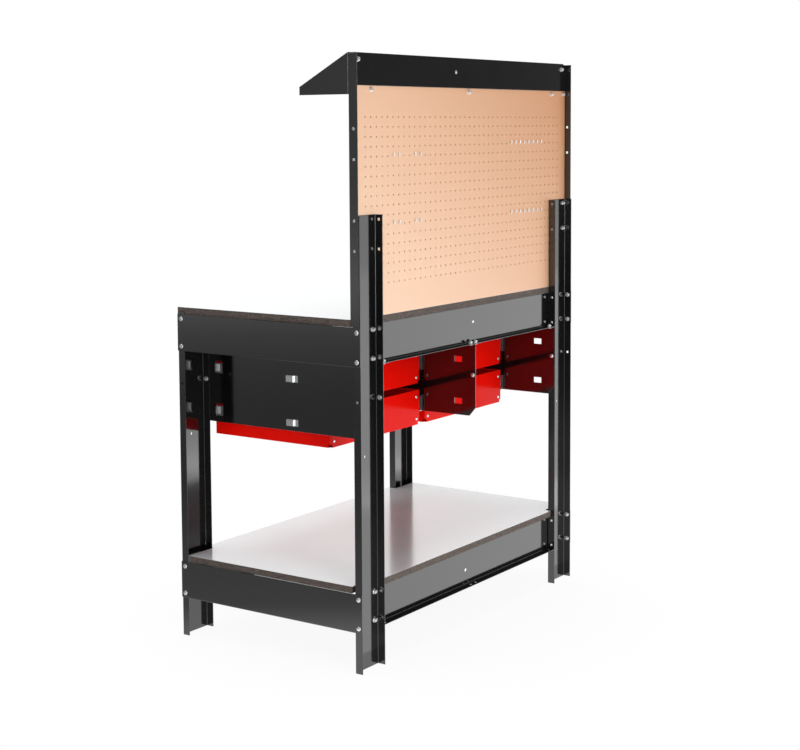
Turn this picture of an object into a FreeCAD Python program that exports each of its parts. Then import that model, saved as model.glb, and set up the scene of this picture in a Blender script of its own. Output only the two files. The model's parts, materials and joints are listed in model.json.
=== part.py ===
import FreeCAD, Part
import math
import os

# A bolted steel workbench with a pegboard back, a small canopy and four drawers on ball slides.
# Millimetres. X runs along the bench, Y from the front to the back, Z up from the floor.
# The origin lies on the floor at the centre of the bench's outline.

V = FreeCAD.Vector
X = V(1, 0, 0)
Y = V(0, 1, 0)
Z = V(0, 0, 1)
LEFT = -1
RIGHT = 1
SIDES = {"left": LEFT, "right": RIGHT}

# Driving dimensions
width = 1130.0
depth = 617.5
sheet = 1.5
bend = 1.5
overrun = 5.0

# Legs, folded to a U whose open side faces the back
leg_width = 102.5
leg_flange = 23.5
front_leg_height = 911.0
rear_leg_height = 1188.0
leg_hole_line = 12.3
leg_middle_hole_height = 562.0
leg_middle_hole_inset = 48.0

# Boards
worktop_top = 923.0
worktop_thick = 19.0
worktop_side_gap = 0.5
shelf_top = 228.0
shelf_thick = 18.0
shelf_overhang_front = 0.5
shelf_overhang_rear = 12.0
shelf_notch_front = 2.5
shelf_notch_rear = 10.0
shelf_notch_side = 2.0

# Aprons at the ends and rails along the front and back
apron_height = 103.0
apron_bolt_inset = 13.5
apron_lip = 18.0
apron_lip_gap = 4.0
rail_end_gap = 3.5
rail_lip = 25.0
rail_lip_gap = 1.0
rail_bolt_inset = 16.0
rail_view_hole_place = 21.5
rail_view_hole_rise = 8.5
view_hole_radius = 5.0

# Posts, pegboard and canopy
post_top = 1598.0
post_base_gap = 1.0
post_flange = 27.5
post_hole_line = 15.0
splice_inset = 12.5
splice_pitch = 77.0
post_spare_drops = (190.0, 267.5)
board_thick = 6.0
peg_pitch = 25.4
peg_radius = 3.2
peg_top_gap = 159.9
peg_base_gap = 83.3
peg_right_gap = 58.9
peg_left_gap = 49.1
back_plate_rise = 3.0
back_plate_height = 83.0
back_plate_end_gap = 12.0
plate_view_hole_place = 68.0
plate_view_hole_drop = 39.0
canopy_reach = 154.5
canopy_drop = 85.0
canopy_lip = 12.0
canopy_end_skirt = 21.0
canopy_flange = 40.0
canopy_notch = 12.0
canopy_flange_gap = 4.0
strip_height = 24.0
strip_gap = 2.0
board_bolt_drop = 92.5
board_bolt_inset = 86.5
post_bolt_inset = 14.0
canopy_bolt_inset = 27.0
canopy_bolt_drop = 17.0

# Drawer panels, which hang from the rails' lips
panel_height = 208.0
panel_end_gap = 2.0
panel_flange = 30.0
panel_corner_run = 20.5
panel_corner_rise = 24.0
panel_bolt_drop = 90.0
panel_lip_bolt_inset = 14.5
window_front_inset = 46.0
window_front_long = 25.0
window_front_low = -5.5
window_front_tall = 34.5
window_middle_share = 0.481
window_middle_long = 39.0
window_middle_low = -9.5
window_middle_tall = 19.0
window_rear_inset = 72.5
window_rear_long = 26.0
window_rear_low = 9.0
window_rear_tall = 17.0

# Drawers
drawer_sheet = 1.0
drawer_setback = 33.0
drawer_depth = 401.0
drawer_height = 101.0
drawer_pitch = 120.5
drawer_top_gap = 24.0
drawer_hem = 8.0
drawer_hem_drop = 5.0
pull_reach = 18.0
pull_drop = 12.0
pull_bend = 2.0
rear_flange = 20.0
rear_wall_gap = 7.0
corner_relief = 8.0

# Ball slides, three members deep
slide_space = 13.2
slide_length = 400.0
slide_setback = 1.0
slide_height_on_drawer = 59.5
slide_sheet = 1.2
fixed_half_height = 22.5
fixed_depth = 11.0
fixed_lip = 3.0
middle_half_height = 17.5
middle_depth = 10.6
middle_web_place = 2.5
inner_half_height = 12.5
inner_depth = 7.0
cage_sheet = 0.6
cage_length = 120.0
cage_inset = 30.0
cage_play = 0.3

# Coach bolts with square necks, in square punched holes, and their nuts
neck_width = 6.0
punch_width = 6.6
head_radius = 6.5
head_crown_radius = 3.5
head_height = 3.5
head_sides = 6
nut_flats = 10.0
nut_height = 6.0

# Pegboard wire and its holes, drawn with few sides
wire_sides = 6
wire_radius = 2.4
wire_play = 0.3
wire_tip = 8.0
hook_reach = 50.0
hook_rise = 16.0
rack_reach = 62.0
rack_rise = 10.0
hook_column_shares = (0.125, 0.225)
hook_row_shares = (0.235, 0.647)
rack_column_share = 0.725
rack_row_shares = (0.176, 0.647)
rack_prongs = 8

# Places that follow from the driving dimensions
front_y = -(depth - sheet - head_height) / 2
back_y = front_y + depth
rear_web_y = back_y - leg_flange
leg_outer_x = width / 2 - sheet
leg_inner_x = leg_outer_x - leg_width
worktop_under = worktop_top - worktop_thick
shelf_under = shelf_top - shelf_thick
post_web_y = rear_web_y - board_thick - sheet
board_front_y = rear_web_y - board_thick
board_half = leg_outer_x - sheet
back_plate_top = post_top + back_plate_rise
board_bolt_height = back_plate_top - board_bolt_drop
board_bolt_place = leg_outer_x - board_bolt_inset
canopy_back_y = post_web_y
canopy_front_y = canopy_back_y - canopy_reach
panel_top = worktop_under - apron_height
panel_base = panel_top - panel_height
panel_bolt_height = panel_top - panel_bolt_drop
outer_panel_x = leg_inner_x - sheet
middle_panel_x = sheet
bay_width = outer_panel_x - middle_panel_x
drawer_width = bay_width - 2 * slide_space
drawer_y = front_y + drawer_setback
slide_y = drawer_y + slide_setback
drawer_base_upper = panel_top - drawer_top_gap - drawer_height
DRAWER_BASES = {"upper": drawer_base_upper, "lower": drawer_base_upper - drawer_pitch}
APRON_BASES = {"upper": worktop_under - apron_height, "lower": shelf_under - apron_height}
WEB_Y = {"front": front_y, "rear": rear_web_y}
splice_heights = (rear_leg_height - splice_inset, rear_leg_height - splice_inset - splice_pitch)
peg_grid_long = 2 * board_half - peg_right_gap - peg_left_gap
peg_grid_tall = post_top - peg_top_gap - peg_base_gap - worktop_top
peg_columns = int(peg_grid_long / peg_pitch + 1 / 2) + 1
peg_rows = int(peg_grid_tall / peg_pitch + 1 / 2) + 1


def apron_bolt_heights(level):
    """Heights of the two bolts at each end of an apron or rail."""
    base = APRON_BASES[level]
    return (base + apron_bolt_inset, base + apron_height - apron_bolt_inset)


def all_apron_bolt_heights():
    return apron_bolt_heights("lower") + apron_bolt_heights("upper")


def box(low, high):
    """A block between two opposite corners, given in any order."""
    corner = V(min(low[0], high[0]), min(low[1], high[1]), min(low[2], high[2]))
    size = [abs(high[i] - low[i]) for i in range(3)]
    return Part.makeBox(size[0], size[1], size[2], corner)


def ring(sides, radius, centre, direction):
    """A regular closed outline round the centre, square to the direction."""
    turn = 2 * math.pi / sides
    angles = [(k + 1 / 2) * turn for k in range(sides)]
    tilt = FreeCAD.Rotation(Z, direction)
    corners = [
        centre + tilt.multVec(V(radius * math.cos(a), radius * math.sin(a), 0)) for a in angles
    ]
    return Part.makePolygon(corners + corners[:1])


def prism(sides, radius, base, direction, length):
    """A regular prism whose axis starts at base and runs along direction."""
    return Part.Face(ring(sides, radius, base, direction)).extrude(direction * length)


def corner_radius(flats, sides):
    """The radius to a corner of a regular outline that measures flats across its sides."""
    return flats / (2 * math.cos(math.pi / sides))


def holed(piece, centres, direction, flats, sides):
    """The piece with a hole through the wall at each centre."""
    corner = corner_radius(flats, sides)
    tools = [prism(sides, corner, c - direction * overrun, direction, 2 * overrun) for c in centres]
    return piece.cut(tools)


def punched(piece, centres, direction):
    """The piece with a square bolt hole at each centre."""
    return holed(piece, centres, direction, punch_width, 4)


def drilled(piece, centres, direction, radius):
    """The piece with a small round hole at each centre."""
    return holed(piece, centres, direction, 2 * radius, wire_sides)


def bent_section(path, thick, radius, place):
    """The flat outline of a folded sheet: path is its middle line, place maps it into space."""
    middle = radius + thick / 2
    count = len(path)
    along = []
    for a, b in zip(path, path[1:]):
        run = math.hypot(b[0] - a[0], b[1] - a[1])
        along.append(((b[0] - a[0]) / run, (b[1] - a[1]) / run))

    def side_edges(side):
        offset = side * thick / 2
        edges = []
        point = shifted(path[0], along[0], offset)
        for i in range(1, count - 1):
            a, b = along[i - 1], along[i]
            cross = a[0] * b[1] - a[1] * b[0]
            turn = math.atan2(cross, a[0] * b[0] + a[1] * b[1])
            if radius == 0:
                back = offset * math.tan(turn / 2)
                corner = shifted(path[i], a, offset)
                corner = (corner[0] - a[0] * back, corner[1] - a[1] * back)
                edges.append((point, corner))
                point = corner
                continue
            reach = middle * math.tan(abs(turn) / 2)
            sign = 1 if turn > 0 else -1
            entry = (path[i][0] - a[0] * reach, path[i][1] - a[1] * reach)
            leave = (path[i][0] + b[0] * reach, path[i][1] + b[1] * reach)
            centre = shifted(entry, a, sign * middle)
            start = shifted(entry, a, offset)
            end = shifted(leave, b, offset)
            to_corner = (path[i][0] - centre[0], path[i][1] - centre[1])
            scale = (middle - sign * offset) / math.hypot(*to_corner)
            halfway = (centre[0] + to_corner[0] * scale, centre[1] + to_corner[1] * scale)
            edges.append((point, start))
            edges.append((start, halfway, end))
            point = end
        edges.append((point, shifted(path[-1], along[-1], offset)))
        return edges

    left = side_edges(1)
    right = side_edges(-1)
    shapes = [edge_of(e, place) for e in left]
    shapes.append(edge_of((left[-1][-1], right[-1][-1]), place))
    shapes += [edge_of(e[::-1], place) for e in reversed(right)]
    shapes.append(edge_of((right[0][0], left[0][0]), place))
    return Part.Face(Part.Wire(shapes))


def shifted(point, direction, offset):
    """The point moved to the left of the direction by the offset."""
    return (point[0] - direction[1] * offset, point[1] + direction[0] * offset)


def edge_of(points, place):
    spots = [place(*p) for p in points]
    if len(spots) == 3:
        return Part.Arc(*spots).toShape()
    return Part.makeLine(*spots)


def bent_sheet(path, place, run, thick=sheet, radius=bend):
    """A folded sheet: the middle line path, swept straight along run."""
    return bent_section(path, thick, radius, place).extrude(run)


def flat_outline(points, place, run):
    """A flat piece with the given corner points, run thick."""
    corners = [place(*p) for p in points]
    return Part.Face(Part.makePolygon(corners + corners[:1])).extrude(run)


def leg(side, web_y, height):
    """A leg: web to the front, two flanges to the back, drilled alike on both flanges."""
    half = sheet / 2
    tip_y = web_y + leg_flange
    path = [
        (side * (leg_inner_x + half), tip_y),
        (side * (leg_inner_x + half), web_y + half),
        (side * (leg_outer_x - half), web_y + half),
        (side * (leg_outer_x - half), tip_y),
    ]
    piece = bent_sheet(path, lambda x, y: V(x, y, 0), Z * height)
    heights = all_apron_bolt_heights() + (panel_bolt_height,)
    if height > worktop_top:
        heights += splice_heights
    hole_y = web_y + leg_hole_line
    flanges = [side * (leg_inner_x + half), side * (leg_outer_x - half)]
    piece = punched(piece, [V(x, hole_y, z) for x in flanges for z in heights], X)
    rail_x = side * (leg_inner_x + rail_bolt_inset)
    centres = [V(rail_x, web_y, z) for z in all_apron_bolt_heights()]
    centres.append(V(side * (leg_outer_x - leg_middle_hole_inset), web_y, leg_middle_hole_height))
    if height > worktop_top:
        centres += [V(x, web_y, z) for x, z in splice_places(side)]
    return punched(piece, centres, Y)


def front_leg(side):
    """A front leg, whose outer flange stands up beside the worktop's corner."""
    piece = leg(side, front_y, front_leg_height)
    trim = box(
        (side * (leg_inner_x - overrun), front_y - overrun, worktop_under),
        (side * (leg_outer_x - sheet), front_y + leg_flange + overrun, front_leg_height + overrun),
    )
    return piece.cut(trim)


def end_apron(side, level):
    """An end apron: a plate outside the legs with a lip turned in between them."""
    base = APRON_BASES[level]
    half = sheet / 2
    path = [
        (side * (leg_outer_x + half), base + apron_height),
        (side * (leg_outer_x + half), base + half),
        (side * (leg_outer_x - apron_lip), base + half),
    ]
    piece = bent_sheet(path, lambda x, z: V(x, front_y, z), Y * depth)
    for low, high in (
        (front_y - overrun, front_y + leg_flange + apron_lip_gap),
        (rear_web_y - apron_lip_gap, back_y + overrun),
    ):
        piece = piece.cut(box(
            (side * leg_outer_x, low, base - overrun),
            (side * (leg_outer_x - apron_lip - overrun), high, base + sheet + bend),
        ))
    centres = [
        V(side * leg_outer_x, WEB_Y[end] + leg_hole_line, z)
        for end in WEB_Y for z in apron_bolt_heights(level)
    ]
    return punched(piece, centres, X)


def lip_bolt_places():
    """Where the drawer panels' flanges are bolted up to the rails' lips, as X places."""
    outer = outer_panel_x - panel_lip_bolt_inset
    middle = middle_panel_x - sheet + panel_lip_bolt_inset - sheet
    return (-outer, -middle, middle, outer)


def rail(end, level):
    """A rail along the bench, in front of the legs' webs, with a bottom lip turned back."""
    base = APRON_BASES[level]
    web_y = WEB_Y[end]
    half = sheet / 2
    half_long = leg_outer_x - rail_end_gap
    path = [
        (web_y - half, base + apron_height),
        (web_y - half, base + half),
        (web_y - sheet + rail_lip, base + half),
    ]
    piece = bent_sheet(path, lambda y, z: V(-half_long, y, z), X * (2 * half_long))
    for side in SIDES.values():
        piece = piece.cut(box(
            (side * (leg_inner_x - rail_lip_gap), web_y, base - overrun),
            (side * (half_long + overrun), web_y + rail_lip, base + sheet + bend),
        ))
    bolt_x = leg_inner_x + rail_bolt_inset
    centres = [V(s * bolt_x, web_y, z) for s in SIDES.values() for z in apron_bolt_heights(level)]
    piece = punched(piece, centres, Y)
    turn = 1 if level == "lower" else -1
    middle = base + apron_height / 2
    view_centre = V(turn * rail_view_hole_place, web_y, middle - turn * rail_view_hole_rise)
    piece = drilled(piece, [view_centre], Y, view_hole_radius)
    lips = [V(x, web_y + leg_hole_line, base) for x in lip_bolt_places()]
    return punched(piece, lips, Z)


def worktop():
    """The upper board, flush with the face of the front rail."""
    half = board_half - worktop_side_gap
    return box((-half, front_y - sheet, worktop_under), (half, rear_web_y, worktop_top))


def lower_shelf():
    """The lower board, notched at its corners to pass the legs."""
    front = front_y - sheet - shelf_overhang_front
    back = rear_web_y + shelf_overhang_rear
    board = box((-board_half, front, shelf_under), (board_half, back, shelf_top))
    notch_x = leg_inner_x - shelf_notch_side
    for side in SIDES.values():
        for low, high in (
            (front - overrun, front_y + leg_flange + shelf_notch_front),
            (rear_web_y - shelf_notch_rear, back + overrun),
        ):
            board = board.cut(box(
                (side * notch_x, low, shelf_under - overrun),
                (side * (board_half + overrun), high, shelf_top + overrun),
            ))
    return board


def post(side):
    """An upright of L section: its web holds the pegboard from the front."""
    half = sheet / 2
    base = worktop_under + post_base_gap
    path = [
        (side * leg_inner_x, post_web_y + half),
        (side * (leg_outer_x + half), post_web_y + half),
        (side * (leg_outer_x + half), post_web_y + post_flange),
    ]
    piece = bent_sheet(path, lambda x, y: V(x, y, base), Z * (post_top - base))
    piece = piece.cut(box(
        (side * (leg_inner_x - overrun), post_web_y - overrun, base - overrun),
        (side * leg_outer_x, back_y + overrun, worktop_top),
    ))
    hole_y = post_web_y + post_hole_line
    heights = list(splice_heights) + [post_top - drop for drop in post_spare_drops]
    outer = [V(side * leg_outer_x, hole_y, z) for z in heights]
    piece = punched(piece, outer, X)
    return punched(piece, [V(x, post_web_y, z) for x, z in post_web_holes(side)], Y)


def post_web_holes(side):
    """X and Z of every bolt through a post's web."""
    return [(side * board_bolt_place, board_bolt_height)] + canopy_bolt_places(side) + splice_places(side)


def splice_places(side):
    """X and Z of the two bolts that tie each post and the pegboard to the rear leg's web."""
    return [(side * (leg_outer_x - post_bolt_inset), z) for z in splice_heights]


def canopy_bolt_places(side):
    """X and Z of the two bolts that tie each canopy end to the post behind it."""
    upper = (side * (leg_outer_x - canopy_bolt_inset), back_plate_top - canopy_bolt_drop)
    return [upper, (side * (leg_outer_x - post_bolt_inset), board_bolt_height)]


def board_bolt_places():
    """X places of the bolts that hold the strip and the pegboard together."""
    return (-board_bolt_place, 0.0, board_bolt_place)


def peg_place(column, row):
    """The centre of a pegboard hole, counted from the right end and from the top."""
    first_x = board_half - peg_right_gap
    return first_x - column * peg_pitch, post_top - peg_top_gap - row * peg_pitch


def peg_numbers(shares, count):
    """The numbers of the holes nearest to the given shares of a line of count holes."""
    return [int(share * (count - 1) + 1 / 2) for share in shares]


def hook_groups():
    """Columns and row of each double hook."""
    rows = peg_numbers(hook_row_shares, peg_rows)
    firsts = peg_numbers(hook_column_shares, peg_columns)
    return [([first, first + 1], row) for row in rows for first in firsts]


def rack_groups():
    """Columns and row of each rack."""
    first = peg_numbers([rack_column_share], peg_columns)[0]
    columns = [first + k for k in range(rack_prongs)]
    return [(columns, row) for row in peg_numbers(rack_row_shares, peg_rows)]


def used_peg_places():
    """The pegboard holes that a hook or a rack goes through."""
    return [peg_place(c, row) for columns, row in hook_groups() + rack_groups() for c in columns]


def pegboard():
    board = box((-board_half, board_front_y, worktop_top), (board_half, rear_web_y, post_top))
    centre_y = board_front_y + board_thick / 2
    pegs = [V(x, centre_y, z) for x, z in used_peg_places()]
    board = drilled(board, pegs, Y, peg_radius)
    bolts = [V(x, centre_y, board_bolt_height) for x in board_bolt_places()]
    for side in SIDES.values():
        bolts += [V(x, centre_y, z) for x, z in canopy_bolt_places(side) + splice_places(side)]
    return punched(board, bolts, Y)


def back_plate():
    """The plate behind the top of the pegboard."""
    base = back_plate_top - back_plate_height
    half = board_half - back_plate_end_gap
    plate = box((-half, rear_web_y, base), (half, rear_web_y + sheet, back_plate_top))
    upper = [canopy_bolt_places(side)[0] for side in SIDES.values()]
    view_centre = V(plate_view_hole_place, rear_web_y, back_plate_top - plate_view_hole_drop)
    plate = drilled(plate, [view_centre], Y, view_hole_radius)
    return punched(plate, [V(x, rear_web_y, z) for x, z in upper], Y)


def canopy_top():
    """The canopy's sheet: front lip, slope and a narrow flat, notched where the posts stand."""
    half = sheet / 2
    front_z = back_plate_top - canopy_drop
    path = [
        (canopy_front_y + half, front_z - canopy_lip),
        (canopy_front_y + half, front_z - half),
        (canopy_back_y, back_plate_top - half),
        (rear_web_y, back_plate_top - half),
    ]
    piece = bent_sheet(path, lambda y, z: V(-leg_outer_x, y, z), X * (2 * leg_outer_x))
    for side in SIDES.values():
        piece = piece.cut(box(
            (side * (leg_outer_x - canopy_notch), canopy_back_y, front_z),
            (side * (leg_outer_x + overrun), rear_web_y + overrun, back_plate_top + overrun),
        ))
    return piece


def canopy_end(side):
    """An end of the canopy: a plate under the slope with a flange turned in along the post."""
    half = sheet / 2
    base = back_plate_top - canopy_drop - canopy_end_skirt
    path = [
        (side * (leg_outer_x + half), canopy_front_y),
        (side * (leg_outer_x + half), canopy_back_y - half),
        (side * (leg_outer_x - canopy_flange), canopy_back_y - half),
    ]
    piece = bent_sheet(path, lambda x, y: V(x, y, base), Z * (back_plate_top - base))
    slope_points = [
        (canopy_front_y - overrun, back_plate_top - canopy_drop),
        (canopy_front_y, back_plate_top - canopy_drop),
        (canopy_back_y, back_plate_top),
        (canopy_back_y, back_plate_top + overrun),
        (canopy_front_y - overrun, back_plate_top + overrun),
    ]
    reach = leg_outer_x + overrun
    above = flat_outline(slope_points, lambda y, z: V(-reach, y, z), X * (2 * reach))
    piece = piece.cut(above)
    piece = piece.cut(box(
        (side * leg_outer_x, canopy_front_y - overrun, back_plate_top - canopy_flange_gap),
        (side * (leg_outer_x - canopy_flange - overrun), canopy_back_y + overrun, back_plate_top + overrun),
    ))
    centres = [V(x, canopy_back_y - half, z) for x, z in canopy_bolt_places(side)]
    return punched(piece, centres, Y)


def pegboard_strip():
    """The flat strip that stiffens the pegboard under the canopy, between the canopy ends."""
    half = leg_outer_x - canopy_flange - strip_gap
    base = board_bolt_height - strip_height / 2
    strip = box((-half, canopy_back_y - sheet, base), (half, canopy_back_y, base + strip_height))
    return punched(strip, [V(x, canopy_back_y, board_bolt_height) for x in board_bolt_places()], Y)


def panel_windows(face_x):
    """The cutters for the slide windows of a drawer panel."""
    windows = (
        (window_front_inset, window_front_long, window_front_low, window_front_tall),
        (depth * window_middle_share, window_middle_long, window_middle_low, window_middle_tall),
        (depth - window_rear_inset, window_rear_long, window_rear_low, window_rear_tall),
    )
    tools = []
    for base in DRAWER_BASES.values():
        slide_z = base + slide_height_on_drawer
        for start, long, low, tall in windows:
            tools.append(box(
                (face_x - overrun, front_y + start, slide_z + low),
                (face_x + overrun, front_y + start + long, slide_z + low + tall),
            ))
    return tools


def drawer_panel(side, outer):
    """A hanging panel: its flange is bolted up to the rails' lips, towards the drawers."""
    half = sheet / 2
    web_x = side * (outer_panel_x + half) if outer else side * (middle_panel_x - half)
    inward = -side if outer else side
    flange_tip = web_x + inward * (panel_flange - half)
    path = [(web_x, panel_base), (web_x, panel_top - half), (flange_tip, panel_top - half)]
    start_y = front_y + panel_end_gap
    long = depth - 2 * panel_end_gap
    piece = bent_sheet(path, lambda x, z: V(x, start_y, z), Y * long)
    end_y = start_y + long
    for edge_y, turn in ((start_y, 1), (end_y, -1)):
        corner = [
            (edge_y - turn * overrun, panel_base - overrun),
            (edge_y + turn * panel_corner_run, panel_base - overrun),
            (edge_y + turn * panel_corner_run, panel_base),
            (edge_y, panel_base + panel_corner_rise),
            (edge_y - turn * overrun, panel_base + panel_corner_rise),
        ]
        tool = flat_outline(corner, lambda y, z: V(web_x - overrun, y, z), X * (2 * overrun))
        piece = piece.cut(tool)
    piece = piece.cut(panel_windows(web_x))
    if outer:
        centres = [V(web_x, WEB_Y[e] + leg_hole_line, panel_bolt_height) for e in WEB_Y]
        piece = punched(piece, centres, X)
    bolt_x = [x for x in lip_bolt_places() if side * x > 0]
    lip_x = max(bolt_x, key=abs) if outer else min(bolt_x, key=abs)
    return punched(piece, [V(lip_x, WEB_Y[e] + leg_hole_line, panel_top) for e in WEB_Y], Z)


def drawer_edges(side):
    """The two X faces of a drawer's side walls, from the bench's middle outwards."""
    near = middle_panel_x + slide_space
    return side * near, side * (near + drawer_width)


def drawer(side, level):
    """A drawer tray: sides with hems and rear flanges, end walls and a relief in each rear corner."""
    base = DRAWER_BASES[level]
    front = drawer_y + drawer_sheet
    near, far = sorted(drawer_edges(side))
    half = drawer_sheet / 2
    top = base + drawer_height
    hem = drawer_hem
    path = [
        (near + hem, top - half - drawer_hem_drop),
        (near + hem, top - half),
        (near + half, top - half),
        (near + half, base + half),
        (far - half, base + half),
        (far - half, top - half),
        (far - hem, top - half),
        (far - hem, top - half - drawer_hem_drop),
    ]
    back = drawer_y + drawer_depth
    wall_y = back - drawer_sheet
    tray = bent_sheet(path, lambda x, z: V(x, front, z), Y * (wall_y - front), drawer_sheet, 0)
    walls = [
        box((near, front, base), (far, front + drawer_sheet, top)),
        box((near + rear_wall_gap, wall_y, base), (far - rear_wall_gap, back, top)),
    ]
    corners = ((near, 1), (far, -1))
    for edge, turn in corners:
        walls.append(box((edge, wall_y - drawer_sheet, base), (edge + turn * rear_flange, wall_y, top)))
    tray = tray.fuse(walls).removeSplitter()
    for edge, turn in corners:
        tray = tray.cut(box(
            (edge - turn * overrun, back - corner_relief, base - overrun),
            (edge + turn * corner_relief, back + overrun, base + corner_relief),
        ))
    return tray


def drawer_front(side, level):
    """The sheet on the front of a tray, folded forward and down along its top as a finger pull."""
    base = DRAWER_BASES[level]
    near, far = sorted(drawer_edges(side))
    half = drawer_sheet / 2
    top = base + drawer_height
    path = [
        (drawer_y + half, base),
        (drawer_y + half, top - half),
        (drawer_y - pull_reach, top - half),
        (drawer_y - pull_reach, top - pull_drop),
    ]
    return bent_sheet(path, lambda y, z: V(near, y, z), X * (far - near), drawer_sheet, pull_bend)


def slide_faces(side):
    """For each slide of a drawer: the panel's face and the way from it to the drawer."""
    return ((side * middle_panel_x, side), (side * outer_panel_x, -side))


def channel(face_x, way, web, mouth, half_height, lip, centre_z, start_y, long, thick=slide_sheet):
    """A rolled channel along Y: web and mouth are its depths from the panel's face."""
    half = thick / 2
    mouth_turn = half if mouth > web else -half
    web_mid = web + mouth_turn
    flange = half_height - half
    tip = mouth - mouth_turn
    path = [(tip, flange), (web_mid, flange), (web_mid, -flange), (tip, -flange)]
    if lip:
        path = [(tip, flange - lip)] + path + [(tip, -flange + lip)]
    else:
        path[0] = (mouth, flange)
        path[-1] = (mouth, -flange)
    return bent_sheet(path, lambda u, w: V(face_x + way * u, start_y, centre_z + w), Y * long, thick, 0)


def slide_fixed(side, level):
    """The outer members of a drawer's two slides, fixed to the panels."""
    z = DRAWER_BASES[level] + slide_height_on_drawer
    return [
        channel(face, way, 0, fixed_depth, fixed_half_height, fixed_lip, z, slide_y, slide_length)
        for face, way in slide_faces(side)
    ]


def slide_middle(side, level):
    """The middle members, which run out half as far as the drawer."""
    z = DRAWER_BASES[level] + slide_height_on_drawer
    return [
        channel(face, way, middle_web_place, middle_depth, middle_half_height, 0, z, slide_y, slide_length)
        for face, way in slide_faces(side)
    ]


def slide_inner(side, level):
    """The inner members, fixed to the drawer's sides."""
    z = DRAWER_BASES[level] + slide_height_on_drawer
    mouth = slide_space - inner_depth
    return [
        channel(face, way, slide_space, mouth, inner_half_height, 0, z, slide_y, slide_length)
        for face, way in slide_faces(side)
    ]


def cage(face_x, way, web, mouth, inside, outside, centre_z, start_y):
    """A ball cage: a thin web with a thick bar of balls above and below the inner channel."""
    half = cage_sheet / 2
    place = lambda u, w: V(face_x + way * u, start_y, centre_z + w)
    body = flat_outline(
        [(web, -outside), (web + cage_sheet, -outside), (web + cage_sheet, outside), (web, outside)],
        place, Y * cage_length)
    bars = []
    for turn in (1, -1):
        bars.append(flat_outline(
            [(web, turn * inside), (mouth, turn * inside), (mouth, turn * outside), (web, turn * outside)],
            place, Y * cage_length))
    return body.fuse(bars).removeSplitter()


def slide_cages(side, level):
    """Two ball cages for each slide, one each side of the middle member."""
    z = DRAWER_BASES[level] + slide_height_on_drawer
    outer_y = slide_y + slide_length - cage_inset - cage_length
    inner_y = slide_y + cage_inset
    solids = []
    for face, way in slide_faces(side):
        web = slide_sheet + cage_play
        solids.append(cage(
            face, way, web, fixed_depth - slide_sheet - cage_play, middle_half_height + cage_play,
            fixed_half_height - slide_sheet - cage_play, z, outer_y))
        web = middle_web_place + slide_sheet + cage_play
        solids.append(cage(
            face, way, web, middle_depth, inner_half_height + cage_play,
            middle_half_height - slide_sheet - cage_play, z, inner_y))
    return solids


def bolt(seat, direction, grip):
    """A coach bolt: seat is where its low domed head bears, direction is the way of its neck."""
    crown = ring(head_sides, head_crown_radius, seat - direction * head_height, direction)
    head = Part.makeLoft([crown, ring(head_sides, head_radius, seat, direction)], True, True)
    return head.fuse(prism(4, corner_radius(neck_width, 4), seat, direction, grip))


def nut(seat, direction, grip):
    """The nut, drawn solid, on the end of the bolt with the same seat, direction and grip."""
    return prism(6, corner_radius(nut_flats, 6), seat + direction * grip, direction, nut_height)


def apron_seats():
    """Bolts through the end aprons and the legs' outer flanges."""
    return [
        (V(side * (leg_outer_x + sheet), WEB_Y[end] + leg_hole_line, z), X * -side, 2 * sheet)
        for side in SIDES.values() for end in WEB_Y for z in all_apron_bolt_heights()
    ]


def rail_seats():
    """Bolts through the rails and the legs' webs."""
    return [
        (V(side * (leg_inner_x + rail_bolt_inset), WEB_Y[end] - sheet, z), Y, 2 * sheet)
        for side in SIDES.values() for end in WEB_Y for z in all_apron_bolt_heights()
    ]


def splice_seats():
    """Bolts through the posts' webs, the pegboard and the rear legs' webs."""
    return [
        (V(x, post_web_y, z), Y, 2 * sheet + board_thick)
        for side in SIDES.values() for x, z in splice_places(side)
    ]


def panel_seats():
    """Bolts through the outer drawer panels and the legs' inner flanges."""
    return [
        (V(side * outer_panel_x, WEB_Y[end] + leg_hole_line, panel_bolt_height), X * side, 2 * sheet)
        for side in SIDES.values() for end in WEB_Y
    ]


def lip_seats():
    """Bolts up through the panels' flanges and the upper rails' lips."""
    return [
        (V(x, WEB_Y[end] + leg_hole_line, panel_top - sheet), Z, 2 * sheet)
        for x in lip_bolt_places() for end in WEB_Y
    ]


def board_seats():
    """Bolts through the strip or canopy flanges, the posts' webs and the pegboard."""
    seat_y = canopy_back_y - sheet
    thin = 2 * sheet + board_thick
    seats = [(V(x, seat_y, board_bolt_height), Y, thin) for x in board_bolt_places()]
    for side in SIDES.values():
        upper, lower = canopy_bolt_places(side)
        seats.append((V(upper[0], seat_y, upper[1]), Y, thin + sheet))
        seats.append((V(lower[0], seat_y, lower[1]), Y, thin))
    return seats


def wire(points):
    """A bent wire along the given points, cut to a mitre at each bend."""
    path = Part.makePolygon(points)
    direction = (points[1] - points[0]).normalize()
    sweep = Part.BRepOffsetAPI.MakePipeShell(path)
    sweep.setTransitionMode(1)
    sweep.add(ring(wire_sides, wire_radius, points[0], direction))
    sweep.build()
    sweep.makeSolid()
    return sweep.shape()


def prong(column, row, reach, rise):
    """One wire: a tip up the back of the board, a run through it, a prong with a raised end."""
    x, z = peg_place(column, row)
    tip_y = rear_web_y + wire_play + wire_radius
    end_y = board_front_y - reach
    points = [V(x, tip_y, z + wire_tip), V(x, tip_y, z), V(x, end_y, z), V(x, end_y, z + rise)]
    return wire(points)


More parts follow.
